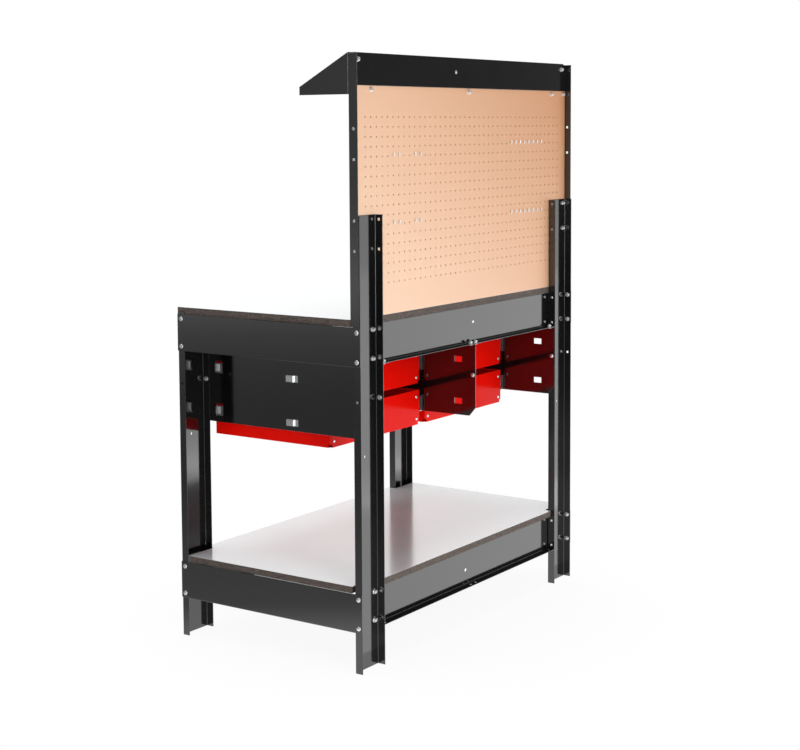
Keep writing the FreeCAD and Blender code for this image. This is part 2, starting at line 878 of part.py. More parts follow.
def pegboard_wire_group(columns, row, reach, rise):
    """Prongs side by side, joined by a bar across the front of the board."""
    prongs = [prong(column, row, reach, rise) for column in columns]
    start, z = peg_place(columns[0], row)
    end, z = peg_place(columns[-1], row)
    bar_y = board_front_y - wire_play - wire_radius
    first = max(start, end) + wire_radius
    bar = prism(wire_sides, wire_radius, V(first, bar_y, z), X * -1, abs(start - end) + 2 * wire_radius)
    return bar.fuse(prongs)


def save(name, solids):
    """Write one sub-part, which may be a group of like solids."""
    shape = Part.makeCompound(solids) if isinstance(solids, list) else solids
    shape.exportStep(os.path.join("parts", name + ".step"))


def save_frame():
    for name, side in SIDES.items():
        save("leg_front_" + name, front_leg(side))
        save("leg_rear_" + name, leg(side, rear_web_y, rear_leg_height))
        save("peg_post_" + name, post(side))
        save("canopy_end_" + name, canopy_end(side))
        save("drawer_panel_outer_" + name, drawer_panel(side, True))
        save("drawer_panel_middle_" + name, drawer_panel(side, False))
        for level in APRON_BASES:
            save("end_apron_" + level + "_" + name, end_apron(side, level))
    for end in WEB_Y:
        for level in APRON_BASES:
            save("rail_" + end + "_" + level, rail(end, level))
    save("worktop", worktop())
    save("lower_shelf", lower_shelf())
    save("pegboard", pegboard())
    save("back_plate", back_plate())
    save("canopy_top", canopy_top())
    save("pegboard_strip", pegboard_strip())


def save_drawers():
    for name, side in SIDES.items():
        for level in DRAWER_BASES:
            tail = "_" + level + "_" + name
            save("drawer" + tail, drawer(side, level))
            save("drawer_front" + tail, drawer_front(side, level))
            save("slide_fixed" + tail, slide_fixed(side, level))
            save("slide_middle" + tail, slide_middle(side, level))
            save("slide_inner" + tail, slide_inner(side, level))
            save("slide_cages" + tail, slide_cages(side, level))


def save_fasteners():
    groups = {
        "apron_bolts": apron_seats(),
        "rail_bolts": rail_seats(),
        "splice_bolts": splice_seats(),
        "panel_bolts": panel_seats(),
        "lip_bolts": lip_seats(),
        "board_bolts": board_seats(),
    }
    for name, seats in groups.items():
        save(name, [bolt(*seat) for seat in seats])
    save("frame_nuts", [nut(*seat) for seats in groups.values() for seat in seats])


def save_accessories():
    hooks = [pegboard_wire_group(columns, row, hook_reach, hook_rise) for columns, row in hook_groups()]
    racks = [pegboard_wire_group(columns, row, rack_reach, rack_rise) for columns, row in rack_groups()]
    save("double_hooks", hooks)
    save("prong_racks", racks)


def main():
    os.makedirs("parts", exist_ok=True)
    save_frame()
    save_drawers()
    save_fasteners()
    save_accessories()


main()
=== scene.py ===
import bmesh
import bpy
import json
import math
from mathutils import Matrix, Vector


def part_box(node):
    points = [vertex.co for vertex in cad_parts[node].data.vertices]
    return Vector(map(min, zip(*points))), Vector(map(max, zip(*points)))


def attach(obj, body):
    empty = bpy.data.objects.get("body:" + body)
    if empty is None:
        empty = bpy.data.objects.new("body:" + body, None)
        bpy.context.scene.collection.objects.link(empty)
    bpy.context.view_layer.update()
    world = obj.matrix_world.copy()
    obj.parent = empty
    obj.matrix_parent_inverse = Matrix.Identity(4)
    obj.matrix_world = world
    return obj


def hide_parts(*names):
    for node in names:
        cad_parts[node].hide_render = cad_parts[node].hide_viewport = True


# The looks of a bolted steel workbench, seen from behind. Metres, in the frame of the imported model.

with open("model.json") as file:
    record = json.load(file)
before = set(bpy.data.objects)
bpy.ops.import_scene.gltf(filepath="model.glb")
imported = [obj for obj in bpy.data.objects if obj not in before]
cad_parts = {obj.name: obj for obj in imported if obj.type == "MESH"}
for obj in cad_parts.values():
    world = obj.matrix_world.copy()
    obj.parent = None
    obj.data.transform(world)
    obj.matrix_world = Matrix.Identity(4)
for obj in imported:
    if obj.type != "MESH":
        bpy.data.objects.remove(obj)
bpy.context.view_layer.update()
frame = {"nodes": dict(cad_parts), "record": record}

MM = 0.001
X_AXIS = Vector((1, 0, 0))
Y_AXIS = Vector((0, 1, 0))
Z_AXIS = Vector((0, 0, 1))
BENCH = "bench"
SIDE_NAMES = ("left", "right")
LEVELS = ("upper", "lower")
SHEET = 1.5 * MM
WHITE = (1, 1, 1, 1)

# Corners closer than these are one corner: in the scene's own meshes, and in the solids of a CAD node
MERGE_DISTANCE = 0.01 * MM
SOLID_MERGE_DISTANCE = 0.001 * MM

# Angles in degrees above which an edge stays sharp
SMOOTH_FLAT = 30
SMOOTH_BLOCK = 40
SMOOTH_TURNED = 50

# Camera, solved from the photograph: places in metres, angles in radians and the sensor in millimetres
IMAGE_WIDTH = 800
IMAGE_HEIGHT = 750
CAMERA_PLACE = (3.91557, 2.70268, 1.40946)
CAMERA_YAW = 3.75386
CAMERA_PITCH = -0.08760
CAMERA_ROLL = -0.00698
CAMERA_FOCUS_PX = 1633.10
CAMERA_CENTRE_PX = (371.86, 271.58)
SENSOR_WIDTH = 36.0

# Pegboard grid
PEG_PITCH = 25.4 * MM
PEG_RADIUS = 2.6 * MM
PEG_TOP_ROW = 1438.1 * MM
PEG_FIRST_COLUMN = 503.1 * MM
PEG_COLUMNS = 41
PEG_ROWS = 18
PEG_SEGMENTS_PER_SIDE = 4

# Wire accessories; the crown of a wire's end is in shares of its radius
WIRE_RADIUS = 2.4 * MM
WIRE_SIDES = 12
WIRE_BEND_STEPS = 6
WIRE_CROWN_WIDTH = 0.7
WIRE_CROWN_RISE = 0.35
WIRE_PLAY = 0.3 * MM
WIRE_TIP = 8 * MM
WIRE_BEND = 4.5 * MM
HOOK_REACH = 50 * MM
HOOK_RISE = 16 * MM
RACK_REACH = 62 * MM
RACK_RISE = 10 * MM
HOOK_COLUMNS = (5, 9)
HOOK_ROWS = (4, 11)
RACK_FIRST_COLUMN = 29
RACK_PRONGS = 8
RACK_ROWS = (3, 11)


def new_material(name):
    """An empty node material with its shader and object coordinates."""
    material = bpy.data.materials.new(name)
    material.use_nodes = True
    nodes = material.node_tree.nodes
    shader = nodes["Principled BSDF"]
    coords = nodes.new("ShaderNodeTexCoord")
    return material, nodes, material.node_tree.links, shader, coords.outputs["Object"]


def noise(nodes, links, vector, scale, detail=3.0, roughness=0.5):
    node = nodes.new("ShaderNodeTexNoise")
    node.inputs["Scale"].default_value = scale
    node.inputs["Detail"].default_value = detail
    node.inputs["Roughness"].default_value = roughness
    links.new(vector, node.inputs["Vector"])
    return node.outputs["Fac"]


def feed(links, source, socket):
    """Join a socket to its source, or set it where the source is a plain value."""
    if isinstance(source, bpy.types.NodeSocket):
        links.new(source, socket)
    else:
        socket.default_value = source


def combined(nodes, links, operation, first, second):
    """Two numbers combined by a Math node."""
    node = nodes.new("ShaderNodeMath")
    node.operation = operation
    for source, socket in zip((first, second), node.inputs):
        feed(links, source, socket)
    return node.outputs["Value"]


def mixed(nodes, links, factor, first, second, blend="MIX"):
    """Two colours mixed by the factor."""
    node = nodes.new("ShaderNodeMix")
    node.data_type = "RGBA"
    node.blend_type = blend
    for name, source in (("Factor", factor), ("A", first), ("B", second)):
        feed(links, source, node.inputs[name])
    return node.outputs["Result"]


def reach_along(nodes, links, vector, way):
    """How far the vector reaches along the way."""
    node = nodes.new("ShaderNodeVectorMath")
    node.operation = "DOT_PRODUCT"
    node.inputs[1].default_value = way
    links.new(vector, node.inputs[0])
    return node.outputs["Value"]


def ray_kinds(nodes, links):
    """Whether a ray comes from the camera, and whether it comes off a gloss or through glass."""
    path = nodes.new("ShaderNodeLightPath")
    mirrored = combined(nodes, links, "MAXIMUM", path.outputs["Is Glossy Ray"],
                        path.outputs["Is Transmission Ray"])
    return path.outputs["Is Camera Ray"], mirrored


def ramp(nodes, links, value, stops):
    """A colour ramp; stops are (place, colour) pairs."""
    node = nodes.new("ShaderNodeValToRGB")
    elements = node.color_ramp.elements
    while len(elements) < len(stops):
        elements.new(0.5)
    for element, (place, colour) in zip(elements, stops):
        element.position = place
        element.color = (*colour, 1)
    links.new(value, node.inputs["Fac"])
    return node.outputs["Color"]


def between(nodes, links, value, first, second):
    """A colour that goes from the first to the second over the middle of a noise's range."""
    return ramp(nodes, links, value, [(0.3, first), (0.7, second)])


def grey(level):
    return (level, level, level)


def mapped(nodes, links, value, low, high, start=0.0, end=1.0, interpolation="LINEAR"):
    """The value carried from the span start to end over to the span low to high."""
    node = nodes.new("ShaderNodeMapRange")
    node.interpolation_type = interpolation
    node.inputs["From Min"].default_value = start
    node.inputs["From Max"].default_value = end
    node.inputs["To Min"].default_value = low
    node.inputs["To Max"].default_value = high
    links.new(value, node.inputs["Value"])
    return node.outputs["Result"]


BEVEL_SAMPLES = 6


def bump(nodes, links, shader, height, distance, strength, edge=0.0):
    """Relief from a height; with an edge radius, sharp edges also catch the light as if rounded."""
    node = nodes.new("ShaderNodeBump")
    node.inputs["Distance"].default_value = distance
    node.inputs["Strength"].default_value = strength
    links.new(height, node.inputs["Height"])
    links.new(node.outputs["Normal"], shader.inputs["Normal"])
    if edge:
        rounded = nodes.new("ShaderNodeBevel")
        rounded.samples = BEVEL_SAMPLES
        rounded.inputs["Radius"].default_value = edge
        links.new(rounded.outputs["Normal"], node.inputs["Normal"])


def stretched(nodes, links, vector, scale):
    node = nodes.new("ShaderNodeMapping")
    node.inputs["Scale"].default_value = scale
    links.new(vector, node.inputs["Vector"])
    return node.outputs["Vector"]


# Noise scales of the powder coats, in features per metre: the colour, the gloss and the orange peel
DEPTH_SCALE = 7.0
GLOSS_SCALE = 22.0
PEEL_SCALE = 420.0


def enamel(name, dark, light, roughness, gloss, index, edge):
    """Glossy powder coat: a faint orange peel, and slow change of gloss and depth."""
    material, nodes, links, shader, place = new_material(name)
    slow = noise(nodes, links, place, DEPTH_SCALE)
    links.new(between(nodes, links, slow, dark, light), shader.inputs["Base Color"])
    patches = noise(nodes, links, place, GLOSS_SCALE)
    links.new(mapped(nodes, links, patches, *roughness), shader.inputs["Roughness"])
    peel = noise(nodes, links, place, PEEL_SCALE, 2.0)
    bump(nodes, links, shader, peel, 0.06 * MM, 0.35, edge)
    shader.inputs["Specular IOR Level"].default_value = gloss
    shader.inputs["IOR"].default_value = index
    return material


def black_enamel():
    return enamel("black_powder_coat", (0.0025, 0.0026, 0.0030), (0.0045, 0.0046, 0.0052),
                  roughness=(0.07, 0.13), gloss=1.0, index=1.56, edge=1.3 * MM)


def red_enamel():
    return enamel("red_powder_coat", (0.78, 0.0035, 0.0010), (0.84, 0.0050, 0.0014),
                  roughness=(0.14, 0.22), gloss=0.06, index=1.5, edge=0.7 * MM)


def zinc():
    """Bright zinc plate with a faint cloudy grain."""
    material, nodes, links, shader, place = new_material("zinc_plate")
    cloud = noise(nodes, links, place, 260.0)
    tint = between(nodes, links, cloud, (0.78, 0.79, 0.82), (0.90, 0.90, 0.89))
    links.new(tint, shader.inputs["Base Color"])
    links.new(mapped(nodes, links, cloud, 0.22, 0.42), shader.inputs["Roughness"])
    shader.inputs["Metallic"].default_value = 1.0
    grain = noise(nodes, links, stretched(nodes, links, place, (900, 90, 900)), 1.0)
    bump(nodes, links, shader, grain, 0.03 * MM, 0.3)
    return material


def cage_plastic():
    """Dull black moulded plastic."""
    material, nodes, links, shader, place = new_material("cage_plastic")
    fine = noise(nodes, links, place, 500.0)
    links.new(between(nodes, links, fine, grey(0.02), grey(0.04)), shader.inputs["Base Color"])
    links.new(mapped(nodes, links, fine, 0.45, 0.6), shader.inputs["Roughness"])
    return material


def laminate():
    """The pale melamine face of the boards."""
    material, nodes, links, shader, place = new_material("pale_laminate")
    slow = noise(nodes, links, place, 5.0)
    tint = between(nodes, links, slow, (0.76, 0.84, 0.85), (0.80, 0.88, 0.89))
    links.new(tint, shader.inputs["Base Color"])
    links.new(mapped(nodes, links, slow, 0.16, 0.24), shader.inputs["Roughness"])
    shader.inputs["Specular IOR Level"].default_value = 0.8
    shader.inputs["Coat Weight"].default_value = 1.0
    shader.inputs["Coat IOR"].default_value = 2.0
    shader.inputs["Coat Roughness"].default_value = 0.12
    grain = noise(nodes, links, place, 800.0, 2.0)
    bump(nodes, links, shader, grain, 0.03 * MM, 0.3)
    return material


CHIP_TINTS = [(0.15, (0.035, 0.026, 0.022)), (0.5, (0.085, 0.062, 0.052)), (0.85, (0.15, 0.115, 0.095))]


def particle_board():
    """The raw edge of the boards: dark chips in a brown grey ground."""
    material, nodes, links, shader, place = new_material("particle_board_edge")
    chips = nodes.new("ShaderNodeTexVoronoi")
    chips.inputs["Scale"].default_value = 1.0
    links.new(stretched(nodes, links, place, (320, 320, 700)), chips.inputs["Vector"])
    tint = ramp(nodes, links, chips.outputs["Color"], CHIP_TINTS)
    links.new(tint, shader.inputs["Base Color"])
    shader.inputs["Roughness"].default_value = 0.75
    bump(nodes, links, shader, chips.outputs["Distance"], 0.3 * MM, 0.5)
    return material


# The hardboard's painted light and shade: its colour at its near lower corner, painted as lit, and at its far
# upper one, painted as in shade, and how much of the change runs across the board instead of up it
NEAR_LIT_TONE = (0.94, 0.64, 0.45)
FAR_SHADED_TONE = (0.58, 0.265, 0.12)
ACROSS_SHARE = 0.6


def hardboard():
    """Tan hardboard with fine fibres, and painted light: brighter at the near lower corner, darker towards the
    far upper corner as painted shade.
    """
    material, nodes, links, shader, place = new_material("tan_hardboard")
    split = nodes.new("ShaderNodeSeparateXYZ")
    links.new(place, split.inputs["Vector"])
    low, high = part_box("pegboard")
    across = mapped(nodes, links, split.outputs["X"], 0.0, ACROSS_SHARE, high.x, low.x)
    up = mapped(nodes, links, split.outputs["Z"], 0.0, 1.0 - ACROSS_SHARE, low.z, high.z)
    both = combined(nodes, links, "ADD", across, up)
    # Painted light and shade: the board's colour fades from the lit near lower corner to the shaded far upper
    # one
    tone = ramp(nodes, links, both, [(0.0, NEAR_LIT_TONE), (1.0, FAR_SHADED_TONE)])
    fibres = noise(nodes, links, stretched(nodes, links, place, (260, 900, 900)), 1.0, 4.0, 0.65)
    speck = ramp(nodes, links, fibres, [(0.30, grey(0.82)), (0.55, grey(1.0))])
    links.new(mixed(nodes, links, 1.0, tone, speck, "MULTIPLY"), shader.inputs["Base Color"])
    links.new(mapped(nodes, links, fibres, 0.34, 0.46), shader.inputs["Roughness"])
    shader.inputs["Specular IOR Level"].default_value = 0.5
    bump(nodes, links, shader, fibres, 0.1 * MM, 0.35)
    return material


# The floor as the camera sees it: its share of pure white, up to the first distance in metres and from
# the second on
FLOOR_WHITE_DISTANCES = (0.4, 1.05)
FLOOR_WHITE_SHARES = (0.93, 1.0)
# The floor as a gloss sees it: the share of it that comes from the levels, and the levels themselves, as
# pairs of a place and a brightness, where the place is in metres towards the studio's darker side
FLOOR_GLOSS_SHARE = 0.95
DARKER_WAY = (0.82, -0.57, 0.0)
FLOOR_GLOSS_SPAN = (-4.0, 24.0)
FLOOR_GLOSS_LEVELS = [
    (-2.3, 0.55), (-1.5, 1.0), (0.62, 1.0), (0.9, 0.38), (2.5, 0.16),
    (4.5, 0.18), (7.5, 0.34), (10.0, 0.85), (13.0, 0.6), (22.0, 0.4),
]


def floor_gloss_stops():
    """The floor's gloss levels as stops of a ramp over the whole span."""
    start, end = FLOOR_GLOSS_SPAN
    return [((metres - start) / (end - start), grey(level)) for metres, level in FLOOR_GLOSS_LEVELS]


def floor_material():
    """A white floor with a faint shadow of the bench, dimmer in a gloss on the studio's darker side."""
    material, nodes, links, shader, place = new_material("pale_floor")
    slow = noise(nodes, links, place, 0.6)
    links.new(between(nodes, links, slow, grey(0.90), grey(0.92)), shader.inputs["Base Color"])
    shader.inputs["Roughness"].default_value = 0.8
    shader.inputs["Specular IOR Level"].default_value = 0.1
    length = nodes.new("ShaderNodeVectorMath")
    length.operation = "LENGTH"
    links.new(place, length.inputs[0])
    white_share = mapped(nodes, links, length.outputs["Value"], *FLOOR_WHITE_SHARES,
                         *FLOOR_WHITE_DISTANCES, interpolation="SMOOTHSTEP")
    from_camera, mirrored = ray_kinds(nodes, links)
    in_camera = combined(nodes, links, "MULTIPLY", from_camera, white_share)
    in_gloss = combined(nodes, links, "MULTIPLY", mirrored, FLOOR_GLOSS_SHARE)
    side = reach_along(nodes, links, place, DARKER_WAY)
    share = mapped(nodes, links, side, 0.0, 1.0, *FLOOR_GLOSS_SPAN)
    levels = ramp(nodes, links, share, floor_gloss_stops())
    light = nodes.new("ShaderNodeEmission")
    links.new(mixed(nodes, links, mirrored, WHITE, levels), light.inputs["Color"])
    mix = nodes.new("ShaderNodeMixShader")
    links.new(combined(nodes, links, "MAXIMUM", in_camera, in_gloss), mix.inputs["Fac"])
    links.new(shader.outputs["BSDF"], mix.inputs[1])
    links.new(light.outputs["Emission"], mix.inputs[2])
    links.new(mix.outputs["Shader"], nodes["Material Output"].inputs["Surface"])
    return material


def paint_cad(materials):
    """Give every CAD node the material of its record slot."""
    slots = {entry["node"]: entry["material_slot"] for entry in frame["record"]["subparts"]}
    for name, node in frame["nodes"].items():
        node.data.materials.clear()
        node.data.materials.append(materials[slots[name]])


def add_piece(name, mesh_builder, material, body=BENCH):
    """A scene piece from a filled bmesh, riding on a body."""
    mesh = bpy.data.meshes.new(name)
    mesh_builder.to_mesh(mesh)
    mesh_builder.free()
    piece = bpy.data.objects.new(name, mesh)
    bpy.context.scene.collection.objects.link(piece)
    mesh.materials.append(material)
    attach(piece, body)
    return piece


def smooth_by_angle(piece, degrees):
    """Smooth shading that keeps the edges sharper than the angle."""
    bm = bmesh.new()
    bm.from_mesh(piece.data)
    limit = math.radians(degrees)
    for face in bm.faces:
        face.smooth = True
    for edge in bm.edges:
        edge.smooth = len(edge.link_faces) == 2 and edge.calc_face_angle(0) < limit
    bm.to_mesh(piece.data)
    bm.free()


def islands(node):
    """The box of each separate solid of a CAD node, as (low, high) corners."""
    mesh = frame["nodes"][node].data
    bm = bmesh.new()
    bm.from_mesh(mesh)
    bmesh.ops.remove_doubles(bm, verts=bm.verts, dist=SOLID_MERGE_DISTANCE)
    left = set(bm.verts)
    boxes = []
    while left:
        stack = [left.pop()]
        seen = list(stack)
        while stack:
            for edge in stack.pop().link_edges:
                for vertex in edge.verts:
                    if vertex in left:
                        left.remove(vertex)
                        stack.append(vertex)
                        seen.append(vertex)
        low = Vector([min(v.co[i] for v in seen) for i in range(3)])
        high = Vector([max(v.co[i] for v in seen) for i in range(3)])
        boxes.append((low, high))
    bm.free()
    return sorted(boxes, key=lambda pair: tuple(pair[0]))


def ring(bm, radius, height, sides, transform):
    """Corners round the transform's own axis."""
    turn = 2 * math.pi / sides
    around = [(radius * math.cos(k * turn), radius * math.sin(k * turn)) for k in range(sides)]
    return [bm.verts.new(transform @ Vector((u, w, height))) for u, w in around]


def wall(bm, lower, upper):
    """A band of faces from one ring of corners to the next."""
    count = len(lower)
    for k in range(count):
        n = (k + 1) % count
        bm.faces.new([lower[k], lower[n], upper[n], upper[k]])


def lathe(bm, profile, sides, transform):
    """A closed turned form: profile is (radius, height) pairs from the axis back to the axis."""
    rings = []
    for radius, height in profile:
        if radius == 0:
            rings.append([bm.verts.new(transform @ Vector((0, 0, height)))])
        else:
            rings.append(ring(bm, radius, height, sides, transform))
    for lower, upper in zip(rings, rings[1:]):
        if len(lower) == len(upper):
            if len(lower) > 1:
                wall(bm, lower, upper)
            continue
        for k in range(sides):
            n = (k + 1) % sides
            bm.faces.new([lower[k], lower[n], upper[0]] if len(upper) == 1 else [lower[0], upper[n], upper[k]])


NUT_SIDES = 6


def hexagon_block(bm, flats, low, high, chamfer, transform):
    """A hexagon nut body with its top corners turned off."""
    corner = flats / math.sqrt(3)
    heights = [(low, corner), (high - chamfer, corner), (high, corner - 2 * chamfer)]
    rings = [ring(bm, radius, height, NUT_SIDES, transform) for height, radius in heights]
    for lower, upper in zip(rings, rings[1:]):
        wall(bm, lower, upper)
    bm.faces.new(rings[-1])
    bm.faces.new(rings[0][::-1])


def facing(centre, direction):
    """The transform that puts a form's +Z along the direction at the centre."""
    return Matrix.Translation(centre) @ Z_AXIS.rotation_difference(direction).to_matrix().to_4x4()


HEAD_RADIUS = 6.5 * MM
HEAD_HEIGHT = 3.5 * MM
DOME_STEPS = 7
NUT_FLATS = 10.0 * MM
NUT_HEIGHT = 6.0 * MM
NUT_FLANGE_RADIUS = 7.0 * MM
NUT_FLANGE_HEIGHT = 1.3 * MM
NUT_CHAMFER = 0.5 * MM
# Shares of the flange's height: the top of its rim, and where the nut's body starts
FLANGE_RIM = 0.5
NUT_START = 0.9
# The radius of the flange's top as a share of the flats, and the thread's start as one of the nut's height
FLANGE_TOP = 0.52
THREAD_START = 0.98
THREAD_RADIUS = 2.95 * MM
THREAD_PITCH = 1.0 * MM
THREAD_DEPTH = 0.3 * MM
THREAD_TURNS = 2
LATHE_SIDES = 28


def dome_profile():
    """The low dome of a coach bolt, as an arc over its flat underside."""
    points = [(0, 0), (HEAD_RADIUS, 0)]
    for k in range(1, DOME_STEPS):
        angle = math.pi / 2 * k / DOME_STEPS
        points.append((HEAD_RADIUS * math.cos(angle), HEAD_HEIGHT * math.sin(angle)))
    return points + [(0, HEAD_HEIGHT)]


def thread_profile(start):
    """The bolt's end past its nut: rolled threads as stacked vees, and a chamfer."""
    points = [(0, start)]
    for turn in range(THREAD_TURNS):
        base = start + turn * THREAD_PITCH
        points.append((THREAD_RADIUS - THREAD_DEPTH, base))
        points.append((THREAD_RADIUS, base + THREAD_PITCH / 2))
    end = start + THREAD_TURNS * THREAD_PITCH
    points.append((THREAD_RADIUS - THREAD_DEPTH, end))
    return points + [(0, end)]


def bolt_heads(node, direction_of, material):
    """Domed heads in place of a node of coach bolts; direction_of gives the way a head faces."""
    bm = bmesh.new()
    for low, high in islands(node):
        centre = (low + high) / 2
        direction = direction_of(centre)
        axis = max(range(3), key=lambda i: abs(direction[i]))
        far = high[axis] if direction[axis] > 0 else low[axis]
        seat = centre.copy()
        seat[axis] = far - direction[axis] * HEAD_HEIGHT
        lathe(bm, dome_profile(), LATHE_SIDES, facing(seat, direction))
    piece = add_piece(node + "_heads", bm, material)
    smooth_by_angle(piece, SMOOTH_TURNED)
    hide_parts(node)


def outward(centre):
    return X_AXIS * (1 if centre.x > 0 else -1)


def inward(centre):
    return -outward(centre)


def nut_direction(low, high):
    """The way a nut's free face looks, from its thin axis and where it sits."""
    size = high - low
    axis = min(range(3), key=lambda i: size[i])
    centre = (low + high) / 2
    if axis == 1:
        return Y_AXIS
    if axis == 2:
        return Z_AXIS
    leg_middle = (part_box("leg_rear_right")[0].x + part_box("leg_rear_right")[1].x) / 2
    return inward(centre) if abs(centre.x) > leg_middle else outward(centre)


def one_flange_nut(bm, transform):
    """A nut with its flange on the seat, and the end of the bolt standing through it."""
    flange = [(0, 0), (NUT_FLANGE_RADIUS, 0), (NUT_FLANGE_RADIUS, NUT_FLANGE_HEIGHT * FLANGE_RIM),
              (NUT_FLATS * FLANGE_TOP, NUT_FLANGE_HEIGHT), (0, NUT_FLANGE_HEIGHT)]
    lathe(bm, flange, LATHE_SIDES, transform)
    hexagon_block(bm, NUT_FLATS, NUT_FLANGE_HEIGHT * NUT_START, NUT_HEIGHT, NUT_CHAMFER, transform)
    lathe(bm, thread_profile(NUT_HEIGHT * THREAD_START), LATHE_SIDES // 2, transform)


def flange_nuts(material):
    """Flanged nuts with the threaded bolt ends standing through them."""
    bm = bmesh.new()
    for low, high in islands("frame_nuts"):
        direction = nut_direction(low, high)
        seat = (low + high) / 2 - direction * (NUT_HEIGHT / 2)
        one_flange_nut(bm, facing(seat, direction))
    piece = add_piece("flange_nuts", bm, material)
    smooth_by_angle(piece, SMOOTH_BLOCK)
    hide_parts("frame_nuts")


def rounded_path(points, radius):
    """The polyline with each corner turned into an arc."""
    path = [points[0]]
    for before, corner, after in zip(points, points[1:], points[2:]):
        a = (corner - before).normalized()
        b = (after - corner).normalized()
        turn = a.angle(b)
        reach = radius * math.tan(turn / 2)
        centre_way = (b - a).normalized()
        centre = corner + centre_way * (radius / math.cos(turn / 2))
        start = corner - a * reach - centre
        axis = a.cross(b).normalized()
        for k in range(WIRE_BEND_STEPS + 1):
            path.append(centre + Matrix.Rotation(turn * k / WIRE_BEND_STEPS, 3, axis) @ start)
    path.append(points[-1])
    return path


def tube(bm, path, radius):
    """A round wire along the path, with closed and slightly rounded ends."""
    rings = []
    side_way = (path[1] - path[0]).orthogonal().normalized()
    turn = 2 * math.pi / WIRE_SIDES
    count = len(path)
    for i, point in enumerate(path):
        along = (path[min(i + 1, count - 1)] - path[max(i - 1, 0)]).normalized()
        side_way = (side_way - along * side_way.dot(along)).normalized()
        other = along.cross(side_way)
        ways = [side_way * math.cos(k * turn) + other * math.sin(k * turn) for k in range(WIRE_SIDES)]
        rings.append([bm.verts.new(point + way * radius) for way in ways])
    for lower, upper in zip(rings, rings[1:]):
        wall(bm, lower, upper)
    for end, tip, inside in ((rings[0], path[0], path[1]), (rings[-1], path[-1], path[-2])):
        rise = (tip - inside).normalized() * radius * WIRE_CROWN_RISE
        centre = sum((v.co for v in end), Vector()) / WIRE_SIDES
        crown = [bm.verts.new(centre + (v.co - centre) * WIRE_CROWN_WIDTH + rise) for v in end]
        wall(bm, end, crown)
        bm.faces.new(crown)


def peg_place(column, row):
    return PEG_FIRST_COLUMN - column * PEG_PITCH, PEG_TOP_ROW - row * PEG_PITCH


def prong_path(column, row, reach, rise):
    """One wire: its tip up the back of the board, the run through, the prong and its raised end."""
    board_low, board_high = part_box("pegboard")
    x, z = peg_place(column, row)
    tip_y = board_high.y + WIRE_PLAY + WIRE_RADIUS
    end_y = board_low.y - reach
    corners = [(x, tip_y, z + WIRE_TIP), (x, tip_y, z), (x, end_y, z), (x, end_y, z + rise)]
    return rounded_path([Vector(c) for c in corners], WIRE_BEND)


def wire_groups(name, node, groups, reach, rise, material):
    """Bent wires joined by a cross bar on the front of the board, for each (columns, row)."""
    bm = bmesh.new()
    bar_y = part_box("pegboard")[0].y - WIRE_PLAY - WIRE_RADIUS
    for columns, row in groups:
        for column in columns:
            tube(bm, prong_path(column, row, reach, rise), WIRE_RADIUS)
        first, z = peg_place(columns[0], row)
        last, z = peg_place(columns[-1], row)
        overhang = X_AXIS * WIRE_RADIUS
        bar = [Vector((first, bar_y, z)) + overhang, Vector((last, bar_y, z)) - overhang]
        tube(bm, bar, WIRE_RADIUS)
    piece = add_piece(name, bm, material)
    smooth_by_angle(piece, SMOOTH_TURNED)
    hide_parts(node)


def wire_accessories(material):
    hooks = [([c, c + 1], row) for row in HOOK_ROWS for c in HOOK_COLUMNS]
    wire_groups("wire_hooks", "double_hooks", hooks, HOOK_REACH, HOOK_RISE, material)
    prongs = [RACK_FIRST_COLUMN + k for k in range(RACK_PRONGS)]
    racks = [(prongs, row) for row in RACK_ROWS]
    wire_groups("wire_racks", "prong_racks", racks, RACK_REACH, RACK_RISE, material)


def cell_outline(x, z):
    """Points round one peg cell, anticlockwise, with the matching points on its hole."""
    half = PEG_PITCH / 2
    corners = [(half, -half), (half, half), (-half, half), (-half, -half)]
    outer, inner = [], []
    for start, end in zip(corners, corners[1:] + corners[:1]):
        for k in range(PEG_SEGMENTS_PER_SIDE):
            share = k / PEG_SEGMENTS_PER_SIDE
            u = start[0] + (end[0] - start[0]) * share
            w = start[1] + (end[1] - start[1]) * share
            angle = math.atan2(w, u)
            outer.append((x + u, z + w))
            inner.append((x + PEG_RADIUS * math.cos(angle), z + PEG_RADIUS * math.sin(angle)))
    return outer, inner


def peg_cell(bm, outer, inner, front, back):
    """One cell of the board: both faces round the hole, and the hole's wall."""
    holes = []
    for y in (front, back):
        rim = [bm.verts.new((x, y, z)) for x, z in outer]
        hole = [bm.verts.new((x, y, z)) for x, z in inner]
        if y == front:
            wall(bm, rim, hole)
        else:
            wall(bm, rim[::-1], hole[::-1])
        holes.append(hole)
    wall(bm, *holes)


def border_quad(bm, x_span, z_span, y, flip):
    """One upright rectangle of the border."""
    (x0, x1), (z0, z1) = x_span, z_span
    corners = [bm.verts.new(c) for c in ((x0, y, z0), (x1, y, z0), (x1, y, z1), (x0, y, z1))]
    bm.faces.new(corners[::-1] if flip else corners)


def peg_border(bm, low, high):
    """The board's border on both faces, in strips that meet the cells' corners."""
    half = PEG_PITCH / 2
    step = PEG_PITCH / PEG_SEGMENTS_PER_SIDE
    left = PEG_FIRST_COLUMN - (PEG_COLUMNS - 1) * PEG_PITCH - half
    right = PEG_FIRST_COLUMN + half
    top = PEG_TOP_ROW + half
    bottom = PEG_TOP_ROW - (PEG_ROWS - 1) * PEG_PITCH - half
    across = [left + k * step for k in range(PEG_COLUMNS * PEG_SEGMENTS_PER_SIDE + 1)]
    xs = [low.x] + across + [high.x]
    zs = [bottom + k * step for k in range(PEG_ROWS * PEG_SEGMENTS_PER_SIDE + 1)]
    for y, flip in ((low.y, False), (high.y, True)):
        for x_span in zip(xs, xs[1:]):
            for z_span in ((low.z, bottom), (top, high.z)):
                border_quad(bm, x_span, z_span, y, flip)
        for z_span in zip(zs, zs[1:]):
            for x_span in ((low.x, left), (right, high.x)):
                border_quad(bm, x_span, z_span, y, flip)


